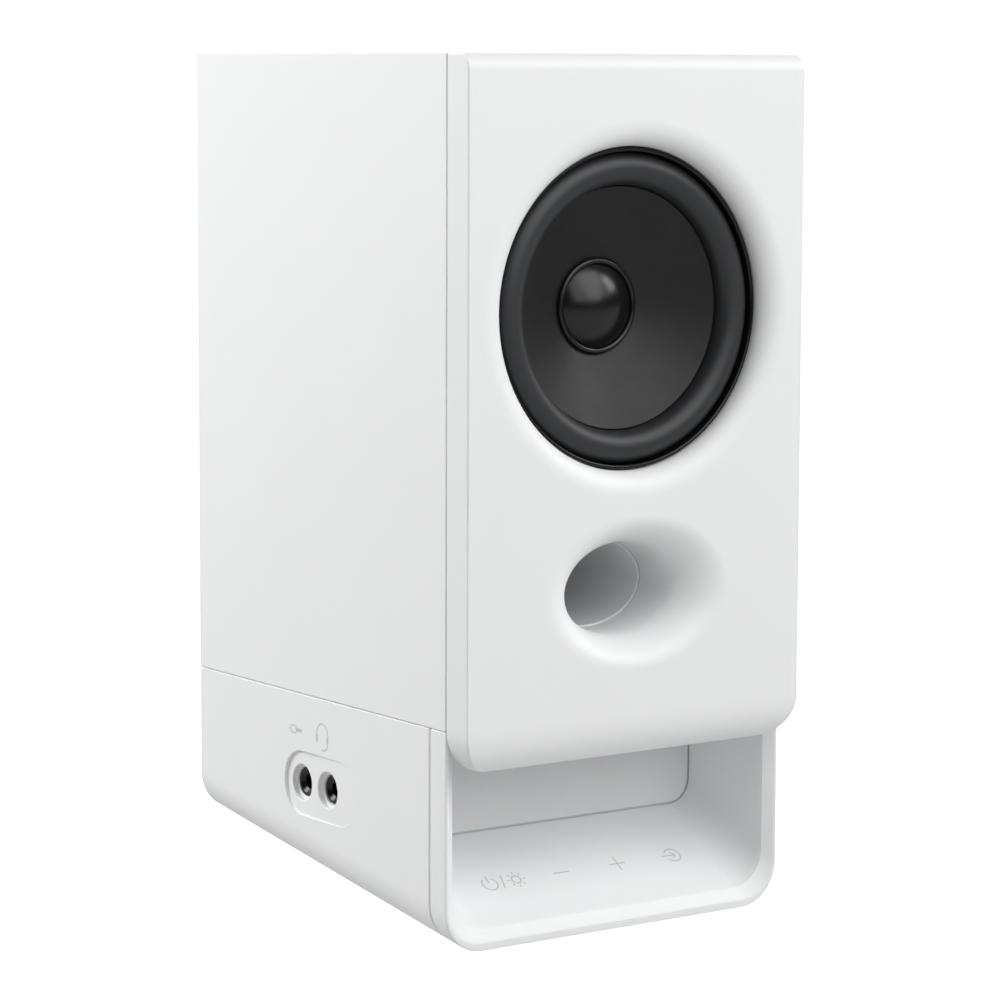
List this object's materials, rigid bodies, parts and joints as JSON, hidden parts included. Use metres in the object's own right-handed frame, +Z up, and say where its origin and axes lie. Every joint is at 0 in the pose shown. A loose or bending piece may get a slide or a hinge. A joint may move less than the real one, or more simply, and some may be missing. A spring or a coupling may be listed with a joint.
{
  "type": "bookshelf speaker",
  "caption": "Leaning white powered bookshelf speaker with a black full-range driver, an oval bass port and a lit touch-control recess in its wedge base.",
  "frame": {"origin": "centre of the footprint of the speaker's bounding box, on the surface that it stands on", "axes": "+Z up, -Y the way the baffle faces, +X to the right seen from the front; the cabinet leans back 7.9 degrees"},
  "size_m": [0.102, 0.1438, 0.2143],
  "materials": {
    "white_plastic": "fine satin moulded ABS, off-white",
    "diffuser_plastic": "translucent white light diffuser, satin",
    "black_plastic": "black moulded plastic",
    "black_rubber": "black rubber, satin",
    "cone_paper": "black pressed cone, satin",
    "black_steel": "black painted pressed steel",
    "zinc_steel": "zinc plated steel",
    "ferrite": "dark grey sintered ferrite",
    "copper": "enamelled copper winding",
    "amber_cloth": "resin-treated cloth",
    "brown_paper": "phenolic tag board",
    "green_board": "printed circuit board with solder mask",
    "aluminium": "satin aluminium",
    "grey_fibre": "grey acoustic fibre felt",
    "lens_white": "clear LED package",
    "red_plastic": "red wire insulation"
  },
  "bodies": {
    "root": {"front_baffle": "white_plastic", "cabinet_shell": "white_plastic", "rear_panel": "white_plastic", "base_shell": "white_plastic", "control_bezel": "white_plastic", "port_tube": "white_plastic", "light_diffuser": "diffuser_plastic", "driver_trim_ring": "black_plastic", "headphone_socket": "black_plastic", "aux_socket": "black_plastic", "power_inlet": "black_plastic", "link_socket": "black_plastic", "filter_capacitor_1": "black_plastic", "filter_capacitor_2": "black_plastic", "driver_lead_negative": "black_plastic", "surround": "black_rubber", "driver_gasket": "black_rubber", "foot_1": "black_rubber", "foot_2": "black_rubber", "foot_3": "black_rubber", "foot_4": "black_rubber", "driver_frame": "black_steel", "top_plate": "zinc_steel", "yoke": "zinc_steel", "usb_socket": "zinc_steel", "driver_screw_1": "zinc_steel", "driver_screw_2": "zinc_steel", "driver_screw_3": "zinc_steel", "driver_screw_4": "zinc_steel", "rear_panel_screw_1": "zinc_steel", "rear_panel_screw_2": "zinc_steel", "rear_panel_screw_3": "zinc_steel", "rear_panel_screw_4": "zinc_steel", "base_screw_1": "zinc_steel", "base_screw_2": "zinc_steel", "base_screw_3": "zinc_steel", "base_screw_4": "zinc_steel", "magnet": "ferrite", "output_inductor": "copper", "spider": "amber_cloth", "driver_terminal": "brown_paper", "amplifier_board": "green_board", "touch_board": "green_board", "light_board": "green_board", "jack_board": "green_board", "heat_sink": "aluminium", "wireless_module": "aluminium", "acoustic_wadding": "grey_fibre", "light_led_1": "lens_white", "light_led_2": "lens_white", "light_led_3": "lens_white", "driver_lead_positive": "red_plastic"},
    "cone_assembly": {"cone": "cone_paper", "dust_cap": "cone_paper", "voice_coil_former": "amber_cloth", "voice_coil": "copper"}
  },
  "joints": [
    {"name": "cone_excursion", "type": "slide", "parent": "root", "child": "cone_assembly", "axis": [0, -0.9905, 0.1374], "range_m": [-0.0025, 0.0025], "stiffness_N_per_m": 1000, "deforming": ["surround", "spider"]}
  ]
}
